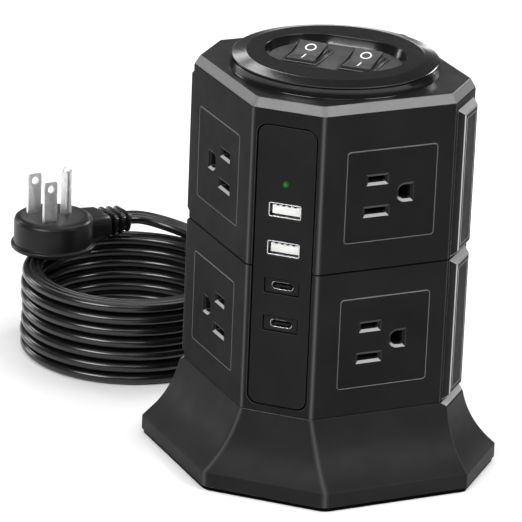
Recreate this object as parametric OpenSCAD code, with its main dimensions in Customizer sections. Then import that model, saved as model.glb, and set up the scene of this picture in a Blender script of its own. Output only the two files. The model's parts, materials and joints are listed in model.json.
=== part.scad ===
// Power strip tower: a two-tier octagonal column of outlets on a flared base,
// with a USB panel on its front corner, two switches in a round top bezel,
// and a flat mains lead that is wound into a coil behind it.
// Millimetres, +Z up. The origin is on the surface it stands on, on the
// column's axis. The USB corner faces -X -Y.

/* [Column] */
// Width of the column across opposite wide faces
col_w = 92; // [90:0.5:94]
// Half length of a wide face, from the axis to its end at the USB corner
near_half = 25.6; // [25:0.1:26]
// Half length of a wide face, from the axis to its end at any other corner
far_half = 29.6; // [29:0.1:30]
// Wall thickness of the shells
wall = 2.4; // [2:0.1:2.6]
// Gap at the visible seams
seam = 0.3; // [0.2:0.05:0.4]

/* [Base] */
// Width of the flared base across its wide sides
base_w = 121; // [119:0.5:123]
// Half length of a wide side of the base, towards the USB corner
base_near = 25; // [24:0.5:26]
// Half length of a wide side of the base, towards any other corner
base_far = 36; // [35:0.5:37]
// How deeply the flared sides hollow inwards, as a share of their slope
flare_sag = 0.085; // [0.05:0.005:0.1]

/* [Heights] */
// Underside of the base shell's skirt
skirt_z = 1.8; // [1.6:0.1:2]
// Top edge of the skirt, where the flare starts
skirt_top = 7.8; // [7:0.1:8.5]
// Top of the base, where the column stands
base_top = 33; // [32:0.5:34]
// Seam between the lower and the upper tier
split_z = 92; // [91.5:0.5:92.5]
// Lower edge of the top cover's chamfer
shoulder_z = 155; // [154.5:0.5:155.5]
// Height of the top cover's chamfer
chamfer_h = 3.8; // [3:0.1:4.5]
// Height of the bezel's flat top above the top cover
ring_h = 5.6; // [5.4:0.1:5.8]

/* [Outlets] */
// Width of an outlet insert
outlet_w = 38; // [37:0.5:39]
// Height of an outlet insert
outlet_h = 37; // [36:0.5:38]
// Distance of the front outlets from the axis, along their face
outlet_shift = 3.7; // [3:0.1:4]
// Centre height of the lower outlets
lower_outlet_z = 62.5; // [61:0.5:64]
// Centre height of the upper outlets
upper_outlet_z = 122; // [120.5:0.5:123.5]
// Distance between the two blade slots
blade_pitch = 12.7; // [12.7]
// Distance from the blade slots to the ground hole
ground_pitch = 11.9; // [11.9]

/* [USB panel] */
// Width of the USB panel
panel_w = 24; // [23:0.5:25]
// Lower end of the USB panel
panel_z0 = 36; // [35.5:0.5:37]
// Upper end of the USB panel
panel_z1 = 149.2; // [148:0.2:150]
// Height of the lower USB-C port
port_z = 69.6; // [69:0.1:70]
// Distance from one port to the next
port_pitch = 15.35; // [15:0.05:15.6]

/* [Switches] */
// Half distance between the two rocker switches
switch_half_pitch = 11.3; // [11:0.1:11.6]
// Tilt of a rocker at either end of its travel
rocker_tilt = 9; // [6:0.5:10]

/* [Cord] */
// Width of the flat cord
cord_w = 8.8; // [8.6:0.1:9]
// Thickness of the flat cord
cord_t = 5; // [4.9:0.05:5.05]
// Turns in the coil
coil_turns = 7; // [7]
// Height of one turn
coil_pitch = 5.2; // [5.2]
// Mean radius of the coil
coil_r = 40.5; // [40.5]

/* [Hidden] */
$fn = 64;
eps = 0.01;

// Half widths and levels worked out from the driving sizes
col_half = col_w / 2;
base_half = base_w / 2;
col_top = shoulder_z + chamfer_h;
ring_top = col_top + ring_h;
collar_top = col_top + 2.2;
chamfer_in = 2.1;
ledge = 2.6;
ledge_drop = 2;
usb_dist = narrow_dist(col_half, near_half);
far_dist = narrow_dist(col_half, far_half);
all_sides = [0, 45, 90, 135, 180, 225, 270, 315];
wide_sides = [0, 90, 180, 270];
far_corners = [45, 135, 315];
usb_corner = 225;

// Fasteners
screw_r = 1.5;
screw_hole_r = 1.6;
screw_head_r = 2.8;
screw_head_h = 2;
flange_t = 3;
flange_bore = 34;
tier_screw_r = 39;
base_post = 32;

// Outlets: face angle, sideways place, and which way the ground hole lies
front_right = [270, outlet_shift, 1];
front_left = [180, -outlet_shift, -1];
back_right = [0, 0, 1];
back_left = [90, 0, -1];
outlet_faces = [front_right, front_left, back_right, back_left];
outlet_levels = [lower_outlet_z, upper_outlet_z];
plate_t = 2.4;
socket_depth = 11;
slot_h = 2.3;
hot_slot = 7;
neutral_slot = 8.7;
ground_hole = 5.6;
slot_bevel = 1.1;
clip_t = 0.5;
bus_half = 30.3;
bus_t = 0.8;

// USB panel
panel_r = 4;
panel_set_back = 0.4;
panel_t = 2;
usb_a_w = 13.1;
usb_a_h = 5.7;
usb_c_w = 9;
usb_c_h = 3.3;
frame_w = 13.8;
frame_h = 5.8;
port_depth = 13;
led_z = 126.4;
led_r = 1.3;
board_face = usb_dist - panel_set_back - 0.2 - port_depth;
board_posts = [62.5, 108];

// Switches
tray_z = collar_top;
rocker_w = 11.5;
rocker_half = 8;
pivot_z = 158.6;
rocker_rise = 5.5;
rocker_slot = 9.3;
switch_half_l = 10.1;
switch_half_w = 6.9;
pivot_pin_r = 1.2;
switch_floor = 146;
terminal_z = 138;
recess_r = 20.2;
recess_half = 6.9;
bezel_r = 40.0;
bezel_flat_r = 34.4;
bezel_seat_r = 37.8;
collar_r = 40.5;
collar_h = 3.7;

// Gland, breaker and cord
boss_y = base_half;
gland_x = 26;
gland_z = 8;
gland_end = 91;
breaker_x = 2;
breaker_z = 11;
coil_centre = [-30, 124];
plug_at = [-52, 155, 36.4];
plug_heading = 10;
cord_rise = 6.6;

// The lead's route from the gland to the coil, along the surface
lead_route = [[26, 91, 8], [26, 95, 7.8], [26, 99, 7.1], [25.8, 103, 6], [25.5, 107, 4.8],
    [24.8, 112, 3.5], [23.5, 117.5, 2.7], [21.7, 123, 2.5], [19.5, 128.5, 2.5],
    [16.7, 134, 2.5], [13.4, 139.2, 2.5]];
// The tail's route over the top turn, from the coil to the plug
tail_route = [[10.4, 130, 38.9], [9.2, 138, 38.9], [6.6, 145.5, 39.1], [2.5, 152.3, 39.8],
    [-1.3, 156.4, 40.6], [-5.8, 159.5, 41.6], [-11, 161.1, 42.6], [-16.5, 161.3, 43]];

// Distance from the axis to a narrow face
function narrow_dist(h, n) = (h + n) / sqrt(2);
// Distance from the axis to the side whose normal is at this angle
function side_dist(a, h, n, f) =
    a % 90 == 0 ? h : narrow_dist(h, a == usb_corner ? n : f);
// Half length left on a wide face after an inset
function inset_half(n, d) = n - d * (sqrt(2) - 1);
// Hollow curve from the top of the flare down to the skirt
function flare(r0, z0, r1, z1, steps = 12) =
    let (run = r1 - r0, fall = z0 - z1, sag = 4 * flare_sag)
    [for (i = [0 : steps]) let (t = i / steps, s = sag * t * (1 - t))
        [r0 + run * t - fall * s, z0 - fall * t - run * s]];
// Height of a port, counted from the lowest
function port_level(i) = port_z + i * port_pitch;

// The octagon, inset by d
module octagon(h, n, f, d = 0) {
    w = h - d;
    a = inset_half(n, d);
    b = inset_half(f, d);
    polygon([[-w, -a], [-a, -w], [b, -w], [w, -b], [w, b], [b, w], [-b, w], [-w, b]]);
}

// The column's outline, inset by d, between two levels
module column(z0, z1, d = 0) {
    translate([0, 0, z0]) linear_extrude(z1 - z0) octagon(col_half, near_half, far_half, d);
}

// Puts its children on a face: X outwards, Y along the face
module on_face(a, dist = 0) {
    rotate(a) translate([dist, 0, 0]) children();
}

// A block on a face that is given by its outer plane
module face_block(x0, x1, w, z0, z1) {
    translate([x0, -w / 2, z0]) cube([x1 - x0, w, z1 - z0]);
}

// A rounded plate that stands on edge, with its thickness along X
module upright_plate(x0, x1, w, h, r) {
    translate([x0, 0, 0]) rotate([90, 0, 90]) linear_extrude(x1 - x0) rounded_rect(w, h, r);
}

module rounded_rect(w, h, r) {
    square([w - 2 * r, h], center = true);
    square([w, h - 2 * r], center = true);
    for (x = [-1, 1], y = [-1, 1]) translate([x * (w / 2 - r), y * (h / 2 - r)]) circle(r);
}

module stadium(half, r) {
    square([2 * half, 2 * r], center = true);
    for (x = [-1, 1]) translate([x * half, 0]) circle(r);
}

// A raised panel with four bevelled sides, rising along X
module bevelled_panel(w, h, rise, bevel) {
    intersection() {
        translate([0, 0, -h / 2]) linear_extrude(h)
            polygon([[0, -w / 2], [rise, bevel - w / 2], [rise, w / 2 - bevel], [0, w / 2]]);
        translate([0, w / 2, 0]) rotate([90, 0, 0]) linear_extrude(w)
            polygon([[0, -h / 2], [rise, bevel - h / 2], [rise, h / 2 - bevel], [0, h / 2]]);
    }
}

// Pan-head screw with its head below, pointing up
module screw(length) {
    cylinder(r = screw_r, h = length);
    translate([0, 0, -screw_head_h]) cylinder(r = screw_head_r, h = screw_head_h);
}

// A flat tube swept along a route, with its width level
module swept_cord(route) {
    sides = 12;
    count = len(route);
    ring = [for (k = [0 : sides - 1]) let (t = 360 * k / sides)
        [cord_w / 2 * sign(cos(t)) * pow(abs(cos(t)), 0.8), cord_t / 2 * sin(t)]];
    points = [for (i = [0 : count - 1]) let (
            ahead = route[min(i + 1, count - 1)] - route[max(i - 1, 0)],
            dir = ahead / norm(ahead),
            level = cross(dir, [0, 0, 1]) / norm(cross(dir, [0, 0, 1])),
            rise = cross(level, dir))
        for (p = ring) route[i] + level * p[0] + rise * p[1]];
    faces = concat([[for (k = [sides - 1 : -1 : 0]) k]],
        [for (i = [0 : count - 2], k = [0 : sides - 1]) let (k2 = (k + 1) % sides)
            [i * sides + k, i * sides + k2, (i + 1) * sides + k2, (i + 1) * sides + k]],
        [[for (k = [0 : sides - 1]) (count - 1) * sides + k]]);
    polyhedron(points, [for (f = faces) [for (k = [len(f) - 1 : -1 : 0]) f[k]]]);
}

// The flared solid of the base, inset by d, between a floor and a ceiling
module flared_solid(d, z0, z1) {
    intersection_for (a = all_sides) flared_side(a, d, z0, z1);
}

// What lies inside one side: the skirt, the hollow flare and, under a corner
// cover, the bevelled ledge at its top
module flared_side(a, d, z0, z1) {
    low_r = side_dist(a, base_half, base_near, base_far) - d;
    top_r = side_dist(a, col_half, near_half, far_half) - d;
    stands_out = a % 90 != 0 && a != usb_corner;
    start = stands_out ? [top_r + ledge, base_top - ledge_drop] : [top_r, base_top];
    rim = stands_out ? [[top_r, base_top]] : [];
    on_face(a) translate([0, 90, 0]) rotate([90, 0, 0]) linear_extrude(180) intersection() {
        polygon(concat([[-80, base_top]], rim, flare(start[0], start[1], low_r, skirt_top),
            [[low_r, z0], [-80, z0]]));
        translate([-80, z0]) square([160, z1 - z0]);
    }
}

module base_shell() color("dimgray") {
    floor_z = base_top - flange_t;
    difference() {
        union() {
            difference() {
                flared_solid(0, skirt_z, base_top);
                flared_solid(3, skirt_z - 1, floor_z);
            }
            for (x = [-1, 1], y = [-1, 1]) translate([x * base_post, y * base_post, 3])
                cylinder(r = 3.6, h = floor_z - 3 + eps);
            translate([gland_x - 9, 47, 3]) cube([18, boss_y - 47, 12]);
            translate([breaker_x - 9, 47, 3]) cube([18, boss_y - 47, 16]);
        }
        for (x = [-1, 1], y = [-1, 1]) translate([x * base_post, y * base_post, 0])
            cylinder(r = screw_hole_r, h = 14);
        for (a = wide_sides) on_face(a, tier_screw_r) translate([0, 0, floor_z - 1])
            cylinder(r = screw_hole_r, h = flange_t + 2);
        translate([0, 0, floor_z - 1]) cylinder(r = 16, h = flange_t + 2);
        translate([gland_x, 40, gland_z]) rotate([-90, 0, 0]) linear_extrude(30)
            rounded_rect(12.4, 8.4, 2);
        translate([gland_x, 40, gland_z]) rotate([-90, 0, 0]) linear_extrude(12.5)
            rounded_rect(15.4, 10, 1);
        translate([breaker_x, 40, breaker_z]) rotate([-90, 0, 0]) cylinder(r = 5.2, h = 30);
        translate([breaker_x - 7.7, 30, breaker_z - 7.2]) cube([15.4, 22.5, 14.4]);
    }
}

module base_plate() color("black") {
    difference() {
        union() {
            translate([0, 0, 0.8]) linear_extrude(skirt_z - 0.8)
                octagon(base_half, base_near, base_far, 1.5);
            translate([0, 0, skirt_z - eps]) linear_extrude(3 - skirt_z + eps)
                octagon(base_half, base_near, base_far, 3.3);
        }
        for (x = [-1, 1], y = [-1, 1]) translate([x * base_post, y * base_post, 0])
            cylinder(r = screw_hole_r, h = 5);
        for (x = [-1, 1], y = [-1, 1]) translate([x * base_post, y * base_post, 0])
            cylinder(r = screw_head_r + 0.3, h = 2.2);
        for (a = wide_sides) on_face(a, 49) cylinder(r = 6.2, h = 1.8);
    }
}

module foot_pads() color("darkslategray") {
    for (a = wide_sides) on_face(a, 49) cylinder(r = 6, h = 1.8);
}

module base_screws() color("silver") {
    for (x = [-1, 1], y = [-1, 1]) translate([x * base_post, y * base_post, 2.2])
        intersection() {
            screw(9);
            translate([0, 0, -1.3]) cylinder(r = 5, h = 12);
        }
}

// Screws through the flanges between base and column, tier and tier, tier and cover
module tier_screws() color("silver") {
    for (a = wide_sides, z = [base_top, split_z - seam / 2]) on_face(a, tier_screw_r)
        translate([0, 0, z - flange_t]) screw(2 * flange_t + 1.5);
    for (a = wide_sides) on_face(a, tier_screw_r)
        translate([0, 0, shoulder_z - flange_t]) screw(flange_t + 2.2);
}

module usb_opening() {
    mid = (panel_z0 + panel_z1) / 2;
    on_face(usb_corner) translate([0, 0, mid])
        upright_plate(usb_dist - 18, usb_dist + 1, panel_w + 0.3, panel_z1 - panel_z0 + 0.3, panel_r);
}

module tier_shell(z0, z1, outlet_z, pocket_z, pocket_h) {
    difference() {
        column(z0, z1);
        column(z0 + flange_t, z1 - flange_t, wall);
        translate([0, 0, z0 - 1]) cylinder(r = flange_bore, h = z1 - z0 + 2);
        for (a = wide_sides, z = [z0, z1 - flange_t]) on_face(a, tier_screw_r)
            translate([0, 0, z - 1]) cylinder(r = screw_hole_r, h = flange_t + 2);
        for (f = outlet_faces) on_face(f[0]) translate([0, f[1], outlet_z])
            upright_plate(col_half - 10, col_half + 1, outlet_w, outlet_h, 1.5);
        usb_opening();
        for (a = far_corners) on_face(a) translate([0, 0, pocket_z])
            face_block(far_dist - 1.2, far_dist + 1, 15, -pocket_h / 2, pocket_h / 2);
    }
}

module lower_tier_shell() color("dimgray")
    tier_shell(base_top, split_z - seam / 2, lower_outlet_z, cover_mid(0), cover_h(0) - 4);

module upper_tier_shell() color("dimgray")
    tier_shell(split_z + seam / 2, shoulder_z, upper_outlet_z, cover_mid(1), cover_h(1) - 4);

module top_cover() color("gray") {
    difference() {
        translate([0, 0, shoulder_z]) linear_extrude(chamfer_h)
            octagon(col_half, near_half, far_half);
        for (a = all_sides) chamfer_cutter(a);
        translate([0, 0, shoulder_z - 1]) linear_extrude(chamfer_h - 1.4)
            octagon(col_half, near_half, far_half, 12);
        translate([0, 0, shoulder_z - 1]) cylinder(r = 33.6, h = 8);
        for (a = wide_sides) on_face(a, tier_screw_r)
            translate([0, 0, shoulder_z - 1]) cylinder(r = screw_hole_r, h = 3.4);
    }
}

module chamfer_cutter(a) {
    r = side_dist(a, col_half, near_half, far_half);
    on_face(a) translate([0, 60, 0]) rotate([90, 0, 0]) linear_extrude(120)
        polygon([[r, shoulder_z], [r + 2, shoulder_z], [r + 2, col_top + 1],
            [r - chamfer_in, col_top + 1], [r - chamfer_in, col_top]]);
}

// A blade slot or ground hole with a bevelled mouth, cut along X to depth d
module blade_slot(w, h, d) {
    mouth = 0.8;
    face_block(-d, 1, w, -h / 2, h / 2);
    translate([-mouth, 0, 0]) intersection() {
        translate([0, 0, -10]) linear_extrude(20) polygon([[0, -w / 2], [2 * mouth, -w / 2 - 2 * slot_bevel],
            [2 * mouth, w / 2 + 2 * slot_bevel], [0, w / 2]]);
        translate([0, 10, 0]) rotate([90, 0, 0]) linear_extrude(20) polygon([[0, -h / 2],
            [2 * mouth, -h / 2 - 2 * slot_bevel], [2 * mouth, h / 2 + 2 * slot_bevel], [0, h / 2]]);
    }
}

// D-shaped ground hole, round towards the slots
module ground_slot(d) {
    r = ground_hole / 2;
    translate([-d, 0, 0]) rotate([90, 0, 90]) linear_extrude(d + 1) intersection() {
        circle(r);
        translate([0.4, 0]) square([2 * r, 2 * r], center = true);
    }
    translate([-d, 0, 0]) rotate([90, 0, 90]) linear_extrude(d + 1)
        translate([0, -r]) square([r - 0.3, 2 * r]);
}

// One outlet: a flush insert, a flange behind the wall and the socket block
module outlet(face, z) color("black") {
    side = face[2];
    on_face(face[0]) translate([0, face[1], z]) difference() {
        union() {
            upright_plate(col_half - plate_t, col_half, outlet_w - 2 * seam, outlet_h - 2 * seam, 1.2);
            upright_plate(col_half - plate_t - 1.2, col_half - plate_t, outlet_w + 2, outlet_h + 2, 1.2);
            face_block(col_half - plate_t - socket_depth, col_half - plate_t, 26, -12.5, 12.5);
        }
        for (k = [-1, 1]) translate([col_half, -side * ground_pitch / 2, k * blade_pitch / 2]) {
            blade_slot(k > 0 ? hot_slot : neutral_slot, slot_h, plate_t + 1);
            face_block(-plate_t - 9.5, -plate_t, 10, -2.2, 2.2);
            face_block(-plate_t - socket_depth - 1, -plate_t, 5, -1, 1);
        }
        translate([col_half, side * ground_pitch / 2, 0]) {
            mirror([0, side > 0 ? 0 : 1, 0]) ground_slot(plate_t + 1);
            face_block(-plate_t - 9.5, -plate_t, 7.6, -3.6, 3.6);
            face_block(-plate_t - socket_depth - 1, -plate_t, 2, -3.2, -2.2);
        }
    }
}

// A folded blade contact with a tail to its bus
module blade_clip(w) {
    inner = col_half - plate_t;
    difference() {
        face_block(inner - 9, inner - 1, w, -1.3, 1.3);
        face_block(inner - 9 + clip_t, inner, w + 1, clip_t - 1.3, 1.3 - clip_t);
    }
    face_block(bus_half, inner - 9 + eps, 4, -0.4, 0.4);
}

module blade_clips(k) {
    for (f = outlet_faces, z = outlet_levels) on_face(f[0])
        translate([0, f[1] - f[2] * ground_pitch / 2, z + k * blade_pitch / 2]) blade_clip(8);
}

module hot_clips() color("goldenrod") blade_clips(1);
module neutral_clips() color("goldenrod") blade_clips(-1);

// Ground contacts: two leaves either side of the pin, joined under it
module ground_clips() color("goldenrod") {
    inner = col_half - plate_t;
    for (f = outlet_faces, z = outlet_levels) on_face(f[0])
        translate([0, f[1] + f[2] * ground_pitch / 2, z]) {
            difference() {
                face_block(inner - 9, inner - 1, 6, -3.1, 2.6);
                face_block(inner - 10, inner, 5, clip_t - 3.1, 3);
            }
            face_block(bus_half, inner - 9 + eps, 1.6, -3.1, clip_t - 3.1);
        }
}

// Eight-sided strip in each tier, against the tails of its clips, and the upright
// strip that joins the two
module bus(level, angle) color("goldenrod") {
    for (z = outlet_levels) translate([0, 0, z + level]) {
        translate([0, 0, -2]) linear_extrude(4) difference() {
            octagon(bus_half, 12, 12);
            octagon(bus_half, 12, 12, bus_t);
        }
        on_face(angle) face_block(28, bus_half - bus_t + eps, 5, -2, 2);
    }
    on_face(angle) face_block(27.8, 28.6, 5, lower_outlet_z + level - 2, upper_outlet_z + level + 2);
}

module hot_bus() bus(blade_pitch / 2, 0);
module neutral_bus() bus(-blade_pitch / 2, 90);
module ground_bus() bus(-1.2, 180);

// Bevelled cover panels on the three plain corners, one for each tier
function cover_z0(tier) = tier == 0 ? base_top + 0.3 : split_z + 0.6;
function cover_z1(tier) = tier == 0 ? split_z - 0.6 : shoulder_z - 3;
function cover_mid(tier) = (cover_z0(tier) + cover_z1(tier)) / 2;
function cover_h(tier) = cover_z1(tier) - cover_z0(tier);

module corner_cover(a, tier) color("dimgray") {
    on_face(a, far_dist) translate([0, 0, cover_mid(tier)]) {
        bevelled_panel(18.8, cover_h(tier), ledge, 2.1);
        face_block(-1, eps, 14.6, 2.2 - cover_h(tier) / 2, cover_h(tier) / 2 - 2.2);
    }
}

// Front plate with a flange behind the wall of each tier and posts for the board
module usb_panel() color("black") {
    mid = (panel_z0 + panel_z1) / 2;
    face = usb_dist - panel_set_back;
    back = usb_dist - wall;
    on_face(usb_corner) difference() {
        union() {
            translate([0, 0, mid])
                upright_plate(face - panel_t, face, panel_w - seam, panel_z1 - panel_z0 - seam, panel_r);
            for (z = [[38, 87], [97, 147]]) face_block(back - 1.5, back, 26, z[0], z[1]);
            for (z = board_posts) translate([board_face, 0, z]) rotate([0, 90, 0])
                cylinder(r = 2, h = back - 1 - board_face);
        }
        for (i = [0, 1]) translate([0, 0, port_level(i)])
            face_block(back - 2, face + 1, frame_w, -frame_h / 2, frame_h / 2);
        for (i = [2, 3]) translate([0, 0, port_level(i)])
            face_block(back - 2, face + 1, usb_a_w + 0.2, -usb_a_h / 2 - 0.1, usb_a_h / 2 + 0.1);
        translate([back - 2, 0, led_z]) rotate([0, 90, 0]) cylinder(r = led_r + 0.1, h = 8);
    }
}

// Rectangular metal shell of a USB-A socket
module usb_a_port(i) color("silver") {
    face = usb_dist - panel_set_back - 0.2;
    on_face(usb_corner) translate([0, 0, port_level(i)]) difference() {
        face_block(board_face, face, usb_a_w, -usb_a_h / 2, usb_a_h / 2);
        face_block(board_face + 0.4, face + 1, usb_a_w - 0.7, 0.35 - usb_a_h / 2, usb_a_h / 2 - 0.35);
    }
}

module usb_a_tongues() color("white") {
    face = usb_dist - panel_set_back - 0.8;
    for (i = [2, 3]) on_face(usb_corner) translate([0, 0, port_level(i)])
        face_block(board_face + 0.4, face, 11.3, -1.2, 1.9);
}

module usb_c_outline(grow) {
    stadium((usb_c_w - usb_c_h) / 2, usb_c_h / 2 + grow);
}

// Oval metal shell of a USB-C socket
module usb_c_port(i) color("silver") {
    face = usb_dist - panel_set_back - 0.9;
    on_face(usb_corner) translate([board_face, 0, port_level(i)]) rotate([90, 0, 90]) difference() {
        linear_extrude(face - board_face) usb_c_outline(0);
        translate([0, 0, 0.4]) linear_extrude(20) usb_c_outline(-0.3);
    }
}

module usb_c_tongues() color("black") {
    face = usb_dist - panel_set_back - 1.6;
    for (i = [0, 1]) on_face(usb_corner) translate([0, 0, port_level(i)])
        face_block(board_face + 0.4, face, 6, -0.35, 0.35);
}

// Recessed frames that fill the panel around the USB-C sockets
module usb_c_frames() color("black") {
    face = usb_dist - panel_set_back - 0.8;
    for (i = [0, 1]) on_face(usb_corner) translate([face - 1.2, 0, port_level(i)])
        rotate([90, 0, 90]) linear_extrude(1.2) difference() {
            square([frame_w - 0.2, frame_h - 0.2], center = true);
            usb_c_outline(0.08);
        }
}

// Light pipe from the board to the panel's face
module led_lens() color("lime") {
    face = usb_dist - panel_set_back;
    on_face(usb_corner) translate([board_face, 0, led_z]) rotate([0, 90, 0])
        cylinder(r = led_r, h = face + 0.3 - board_face);
}

module usb_board() color("darkgreen") {
    on_face(usb_corner) face_block(board_face - 1.6, board_face, 20, 60, 132);
}

// Board that stands on the base's top
module surge_board() color("darkgreen") {
    translate([-21, -16, base_top]) cube([1.6, 32, 77]);
}

// Disc varistors on the surge board
module varistors() color("royalblue") {
    for (y = [-11, 0, 11], z = [78, 98]) translate([-19.4, y, z]) rotate([0, 90, 0])
        cylinder(r = 4.8, h = 4);
}

module collar_ring() color("black") {
    translate([0, 0, col_top]) difference() {
        union() {
            cylinder(r = collar_r, h = collar_h);
            cylinder(r1 = collar_r + 0.7, r2 = collar_r, h = 1.2);
        }
        translate([0, 0, -1]) cylinder(r = 34.4, h = 6);
        translate([0, 0, collar_top - col_top]) cylinder(r = bezel_seat_r + 0.2, h = 5);
    }
}

module bezel_ring() color("black") {
    lip = col_top + collar_h + 0.2;
    difference() {
        rotate_extrude($fn = 96) polygon([[0, collar_top], [bezel_seat_r, collar_top],
            [bezel_seat_r, lip], [bezel_r, lip], [bezel_r, lip + 0.4],
            [bezel_flat_r, ring_top], [0, ring_top]]);
        rotate(-45) translate([0, 0, tray_z - 1]) linear_extrude(10)
            stadium(recess_half, recess_r);
    }
}

// Floor of the recess that the two switches snap into
module switch_tray() color("black") {
    translate([0, 0, tray_z - 2]) difference() {
        cylinder(r = 34.2, h = 2);
        for (s = [-1, 1]) rotate(-45) translate([s * switch_half_pitch, 0, -1])
            linear_extrude(5) square([2 * switch_half_w + 0.2, 2 * switch_half_l + 0.2], center = true);
    }
}

// Switch frame: X along the row of switches, Y away from the USB corner
module switch_frame(s) {
    rotate(-45) translate([s * switch_half_pitch, 0, 0]) children();
}

module switch_body(s) color("black") switch_frame(s) difference() {
    union() {
        translate([-switch_half_w, -switch_half_l, switch_floor])
            cube([2 * switch_half_w, 2 * switch_half_l, tray_z - switch_floor + eps]);
        translate([-7.3, -10.6, tray_z]) cube([14.6, 21.2, 0.9]);
    }
    translate([-rocker_w / 2 - 0.25, -rocker_slot, switch_floor + 2])
        cube([rocker_w + 0.5, 2 * rocker_slot, 20]);
    translate([-7, 0, pivot_z]) rotate([0, 90, 0]) cylinder(r = pivot_pin_r + 0.05, h = 14);
}

// Rocker with a hollowed top, tilted so that the end nearer the USB corner is pressed
module rocker(s) color("black") switch_frame(s) translate([0, 0, pivot_z])
    rotate([rocker_tilt, 0, 0]) {
        difference() {
            translate([-rocker_w / 2, -rocker_half, -2])
                cube([rocker_w, 2 * rocker_half, rocker_rise + 2]);
            translate([-20, 0, rocker_rise + 24]) rotate([0, 90, 0]) cylinder(r = 25.2, h = 40);
        }
        translate([-6.6, 0, 0]) rotate([0, 90, 0]) cylinder(r = pivot_pin_r, h = 13.2);
    }

module switch_terminals() color("goldenrod") {
    for (s = [-1, 1], y = [-6, 0, 6]) switch_frame(s)
        translate([-2.4, y - 0.4, terminal_z]) cube([4.8, 0.8, switch_floor - terminal_z]);
}

module circuit_breaker() color("black") {
    difference() {
        union() {
            translate([breaker_x - 7.5, 32, breaker_z - 7]) cube([15, 20.4, 14]);
            translate([breaker_x, 52.3, breaker_z]) rotate([-90, 0, 0]) cylinder(r = 5, h = 7.4);
        }
        translate([breaker_x, 48, breaker_z]) rotate([-90, 0, 0]) cylinder(r = 3.05, h = 20);
    }
}

// Button that stands out of the breaker's barrel and is pushed in by 2 mm
module reset_button() color("red") {
    translate([breaker_x, 51, breaker_z]) rotate([-90, 0, 0]) cylinder(r = 3, h = 11.5);
}

// Insulated conductors that rise from the base to the switch terminals
module wire_harness() color("white") {
    for (s = [-1, 1], y = [-6, 0, 6]) switch_frame(s) translate([0, y, 3])
        cylinder(r = 1.6, h = terminal_z - 3);
}

// Cord gland: a flange inside the base, a neck, and a tapered sleeve outside
module cord_gland() color("black") {
    outer = 2.4;
    difference() {
        translate([gland_x, 0, gland_z]) {
            translate([0, 50, 0]) rotate([-90, 0, 0]) linear_extrude(2.4) rounded_rect(15, 9.6, 1);
            translate([0, 52.3, 0]) rotate([-90, 0, 0]) linear_extrude(boss_y - 52.2)
                rounded_rect(12, 8, 1.8);
            translate([0, boss_y + 0.1, 0]) rotate([-90, 0, 0]) linear_extrude(outer)
                rounded_rect(16, 11.6, 1.5);
            intersection() {
                translate([0, 0, -10]) linear_extrude(20) polygon([[-6.6, boss_y], [6.6, boss_y],
                    [5.2, gland_end], [-5.2, gland_end]]);
                translate([-10, 0, 0]) rotate([90, 0, 90]) linear_extrude(20)
                    polygon([[boss_y, -4.8], [gland_end, -3.4], [gland_end, 3.4], [boss_y, 4.8]]);
            }
        }
        for (i = [0 : 4]) translate([gland_x, boss_y + 5 + 5 * i, gland_z]) rotate([-90, 0, 0])
            linear_extrude(1.6) difference() {
                square([30, 30], center = true);
                rounded_rect(10 - 0.2 * i, 6.4 - 0.1 * i, 1.5);
            }
    }
}

module cord_lead() color("black") swept_cord(lead_route);

module cord_coil() color("black") {
    translate([coil_centre[0], coil_centre[1], 0]) rotate_extrude($fn = 96)
        translate([coil_r - cord_w / 2, 0]) square([cord_w, coil_turns * coil_pitch]);
}

module cord_tail() color("black") swept_cord(tail_route);

// Plug frame: X along the plug towards its cord, Z away from its flat back
module plug_frame() {
    translate(plug_at) rotate(plug_heading) children();
}

module plug_body() color("black") plug_frame() {
    difference() {
        union() {
            cylinder(r = 17.8, h = 2.4);
            translate([0, 0, 2.3]) cylinder(r = 16.6, h = 11.7);
            translate([0, 0, cord_rise]) rotate([90, 0, 90]) translate([0, 0, 12])
                linear_extrude(12.5) rounded_rect(17, 11, 2);
        }
        for (y = [-1, 1]) translate([-5.95, y * blade_pitch / 2, 6]) translate([-3.2, -0.8, 0])
            cube([6.4, 1.6, 10]);
        translate([5.95, 0, 6]) cylinder(r = 2.4, h = 10);
    }
}

module plug_blades() color("silver") plug_frame() {
    for (y = [-1, 1]) translate([-5.95, y * blade_pitch / 2, 6]) difference() {
        translate([-3.17, -0.76, 0]) cube([6.34, 1.52, 25.5]);
        translate([0, 5, 22.4]) rotate([90, 0, 0]) cylinder(r = 1.6, h = 10);
    }
}

module plug_ground_pin() color("silver") plug_frame() {
    translate([5.95, 0, 6]) {
        cylinder(r = 2.38, h = 8);
        cylinder(r = 2.1, h = 9);
        translate([0, 0, 8.8]) cylinder(r = 2.38, h = 17.4);
        translate([0, 0, 26.2]) sphere(r = 2.38);
    }
}

// Three ribs on a core, between the plug's neck and the cord
module plug_strain_relief() color("black") plug_frame()
    translate([0, 0, cord_rise]) rotate([90, 0, 90]) {
        translate([0, 0, 24.5]) linear_extrude(11.5) rounded_rect(10.4, 6.8, 1.5);
        for (i = [0 : 2]) translate([0, 0, 26.2 + 3.6 * i]) linear_extrude(1.9)
            rounded_rect(15 - 0.7 * i, 9.8 - 0.3 * i, 1.2);
    }

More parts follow.
